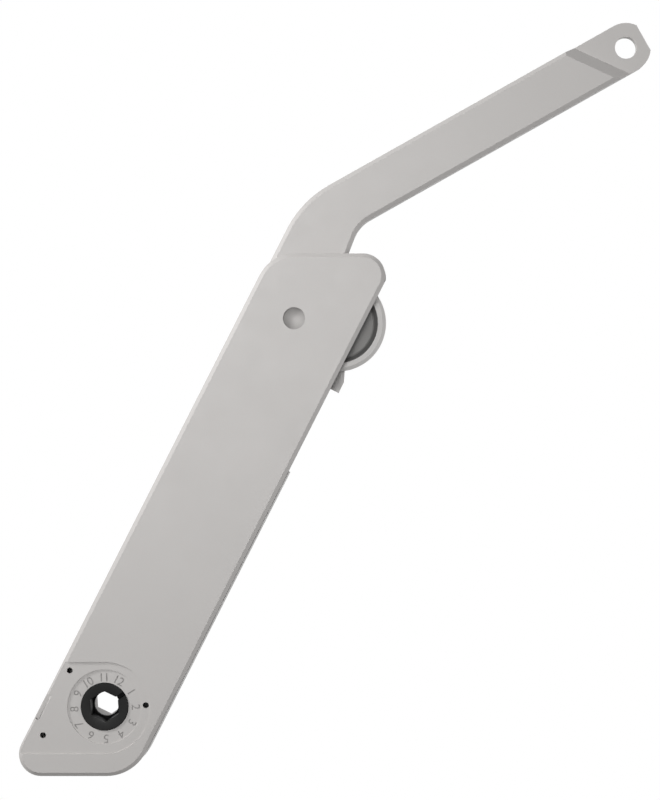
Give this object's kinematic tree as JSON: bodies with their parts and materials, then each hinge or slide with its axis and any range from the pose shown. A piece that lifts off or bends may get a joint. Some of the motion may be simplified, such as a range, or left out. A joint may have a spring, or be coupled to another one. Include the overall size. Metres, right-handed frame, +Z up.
{
  "type": "lift-up flap stay",
  "caption": "Slim lift-up flap stay: housing turning on a hexagonal stub, folding arm with joggled tab, eccentric, spring carriage and numbered dial",
  "frame": {"origin": "centre of the hexagonal mounting hole, on the cabinet wall", "axes": "+X to the right as seen from the front, +Z up with the flap open, +Y into the cabinet wall"},
  "size_m": [0.2873, 0.0209, 0.3423],
  "materials": {
    "housing_paint": "satin powder coat",
    "arm_paint": "satin powder coat",
    "steel": "zinc plated",
    "spring_steel": "oiled",
    "black_plastic": "moulded",
    "grey_plastic": "moulded",
    "eccentric_grey": "cast, painted",
    "eccentric_dark": "cast, painted dark",
    "black_steel": "blackened"
  },
  "bodies": {
    "bush": {"mount_bush": "arm_paint", "bush_clip": "spring_steel"},
    "housing": {"cover": "housing_paint", "back_tray": "housing_paint", "cover_screws": "steel", "elbow_pin": "arm_paint", "elbow_spacer": "steel"},
    "arm": {"arm": "arm_paint", "eccentric_cam": "eccentric_dark", "cam_rim": "eccentric_grey", "cam_rivets": "steel", "elbow_bush": "grey_plastic"},
    "carriage": {"spring_carriage": "grey_plastic", "roller_axle": "steel", "upper_guides": "steel"},
    "roller": {"follower_roller": "steel"},
    "preload": {"preload_seat": "grey_plastic", "lower_guides": "steel", "spring_left": "spring_steel", "spring_middle": "spring_steel", "spring_right": "spring_steel"},
    "dial": {"dial_hub": "black_plastic", "snail_cam": "black_steel"}
  },
  "joints": [
    {"name": "housing_swing", "type": "hinge", "parent": "bush", "child": "housing", "pos_m": [0, 0, 0], "axis": [0, 1, 0], "range_deg": [-25, 75]},
    {"name": "arm_fold", "type": "hinge", "parent": "housing", "child": "arm", "pos_m": [0.08554, -0.0149, 0.17524], "axis": [0, 1, 0], "range_deg": [0, 100], "stiffness_Nm_per_rad": 1, "springref_deg": -68.75},
    {"name": "carriage_slide", "type": "slide", "parent": "housing", "child": "carriage", "axis": [-0.4529, 0, -0.8916], "range_m": [0, 0.03668], "deforming": ["spring_left", "spring_middle", "spring_right"]},
    {"name": "roller_spin", "type": "hinge", "parent": "carriage", "child": "roller", "pos_m": [0.07864, -0.0129, 0.16165], "axis": [0, 1, 0], "continuous": true},
    {"name": "dial_turn", "type": "hinge", "parent": "housing", "child": "dial", "pos_m": [0, 0, 0], "axis": [0, 1, 0], "range_deg": [0, 330]},
    {"name": "preload_slide", "type": "slide", "parent": "housing", "child": "preload", "axis": [0.4529, 0, 0.8916], "range_m": [0, 0.0081]}
  ],
  "couplings": [
    {"joint": "carriage_slide", "follows": "arm_fold", "m_per_rad": 0.0209},
    {"joint": "preload_slide", "follows": "dial_turn", "m_per_rad": 0.001389}
  ]
}
